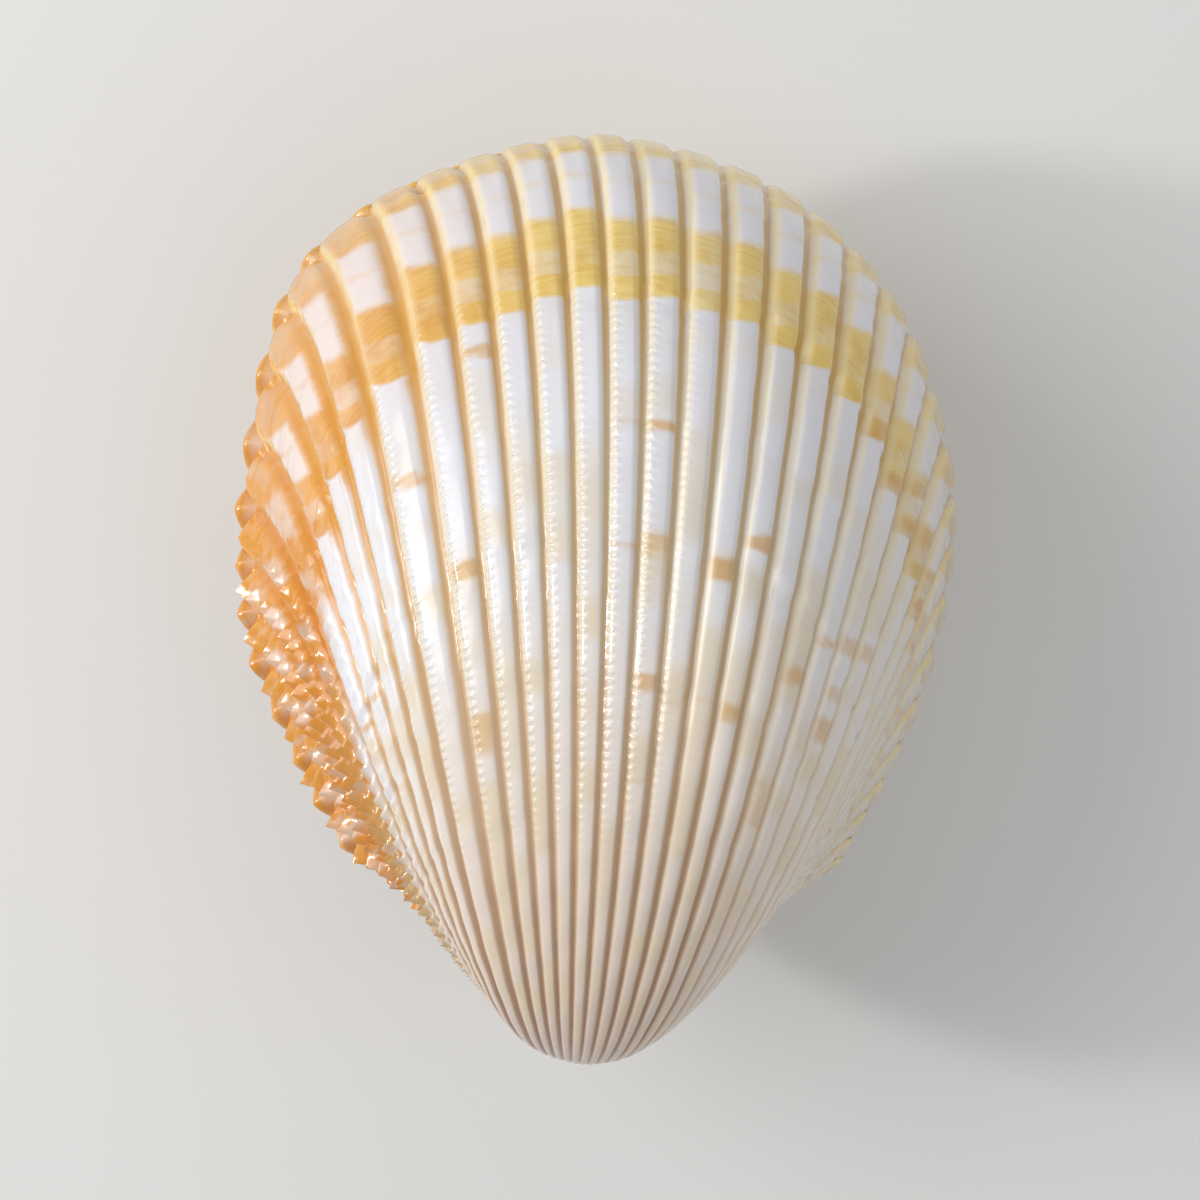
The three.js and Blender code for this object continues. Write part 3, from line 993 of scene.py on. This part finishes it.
def with_lines(n, f, tone):
    """Faint thin growth lines, fewer towards the hind end."""
    lined = n.ramp(f.thin_lines, [(0.25, (0.965, 0.955, 0.94, 1)), (0.7, (1, 1, 1, 1))])
    return n.mix(n.minus(0.8, n.times(f.warmth, 0.6)), tone, lined, "MULTIPLY")


def shell_relief(n, f):
    """Growth lines, grain and beads along the ribs, for the bump."""
    relief = n.plus(n.times(f.lines, LINE_RELIEF), n.times(f.fine, GRAIN_RELIEF))
    uneven = n.plus(f.growth, n.times(f.fine, 0.5))
    wave = n.math("SINE", n.times(uneven, BEAD_PITCH))
    return n.plus(relief, n.times(f.bead, wave, BEAD_RELIEF))


def shell_material():
    """Glossy shell: lavender white ribs, ochre furrows with painted shade on the older shell, gold growth
    bands, dabs, an orange flank, and a painted highlight along each rib's lit shoulder.
    """
    n = Nodes("shell_looks")
    f = shell_fields(n)
    tone = rib_tone(n, f)
    for layer in (with_gold, with_dabs, with_flank, with_shoulder_highlight, with_furrows, with_lines):
        tone = layer(n, f, tone)
    tone = n.mix(f.inside, tone, colour(240, 232, 222))
    n.join(tone, n.shader.inputs["Base Color"])
    rough = n.plus(0.14, n.times(f.patchy, 0.16))
    rough = n.plus(rough, n.times(n.smooth(f.age, 0.55, 0.95), 0.12))
    n.join(rough, n.shader.inputs["Roughness"])
    n.shader.inputs["IOR"].default_value = SHELL_IOR
    n.shader.inputs["Coat Weight"].default_value = COAT_WEIGHT
    n.shader.inputs["Coat Roughness"].default_value = COAT_ROUGHNESS
    n.join(n.bump(shell_relief(n, f), 1.0), n.shader.inputs["Normal"])
    return n.material


def ligament_material():
    """Dark brown horny band with fibres along it."""
    n = Nodes("ligament_looks")
    place = n.place()
    fibres = n.noise(place, 2600, 4.0, 0.6)
    clouds = n.noise(place, 500, 2.0)
    shade = n.ramp(fibres, [
        (0.3, colour(52, 32, 20)),
        (0.55, colour(92, 60, 36)),
        (0.75, colour(124, 86, 52)),
    ])
    shade = n.mix(n.times(clouds, 0.5), shade, colour(40, 26, 18))
    n.join(shade, n.shader.inputs["Base Color"])
    n.join(n.plus(0.4, n.times(fibres, 0.3)), n.shader.inputs["Roughness"])
    n.join(n.bump(fibres, 0.5), n.shader.inputs["Normal"])
    return n.material


def floor_material():
    n = Nodes("floor_looks")
    n.join(colour(226, 225, 222), n.shader.inputs["Base Color"])
    n.join(0.7, n.shader.inputs["Roughness"])
    return n.material


# Stage
def make_floor():
    half = FLOOR_SIZE / 2
    corners = [(-half, -half, 0), (half, -half, 0), (half, half, 0), (-half, half, 0)]
    mesh = bpy.data.meshes.new("floor")
    mesh.from_pydata(corners, [], [(0, 1, 2, 3)])
    mesh.materials.append(floor_material())
    floor = bpy.data.objects.new("floor", mesh)
    bpy.context.scene.collection.objects.link(floor)


def add_light(name, direction, distance, size, power):
    """A square soft light that shines on the middle of the shell from a direction."""
    light = bpy.data.lights.new(name, "AREA")
    light.shape = "SQUARE"
    light.size = size
    light.energy = power
    lamp = bpy.data.objects.new(name, light)
    away = Vector(direction).normalized()
    lamp.location = away * distance
    lamp.rotation_euler = away.to_track_quat("Z", "Y").to_euler()
    bpy.context.scene.collection.objects.link(lamp)


def make_world():
    world = bpy.data.worlds.new("studio")
    world.use_nodes = True
    background = world.node_tree.nodes["Background"]
    background.inputs["Color"].default_value = colour(236, 238, 242)
    background.inputs["Strength"].default_value = WORLD_STRENGTH
    bpy.context.scene.world = world


def make_camera():
    """The camera of the photo: nearly square to the left valve, with the beaks below."""
    view = Matrix.Rotation(-VIEW_TILT, 3, "X") @ Matrix.Rotation(VIEW_LEAN, 3, "Y") \
        @ Matrix.Rotation(-VIEW_ROLL, 3, "Z")
    turn = LAID @ view.transposed()
    aim = LAID @ Vector(VIEW_AIM) + BEAKS_AT
    camera = bpy.data.cameras.new("camera")
    camera.sensor_width = SENSOR_WIDTH
    camera.lens = SENSOR_WIDTH * VIEW_DISTANCE / VIEW_WIDTH
    camera.clip_start = CLIP_START
    eye = bpy.data.objects.new("camera", camera)
    place = (aim + turn.col[2] * VIEW_DISTANCE) * MM
    eye.matrix_world = Matrix.Translation(place) @ turn.to_4x4()
    bpy.context.scene.collection.objects.link(eye)
    bpy.context.scene.camera = eye


def main():
    shell = shell_material()
    for name, side, node in (("left_valve_skin", 1, "left_valve"), ("right_valve_skin", -1, "right_valve")):
        piece = make_valve(name, side, shell)
        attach(piece, "root")
        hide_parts(node)
    band = make_ligament(ligament_material())
    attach(band, "root")
    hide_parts("ligament")
    make_floor()
    for light in LIGHTS:
        add_light(*light)
    make_world()
    make_camera()
    bpy.context.scene.view_settings.view_transform = "Standard"


main()
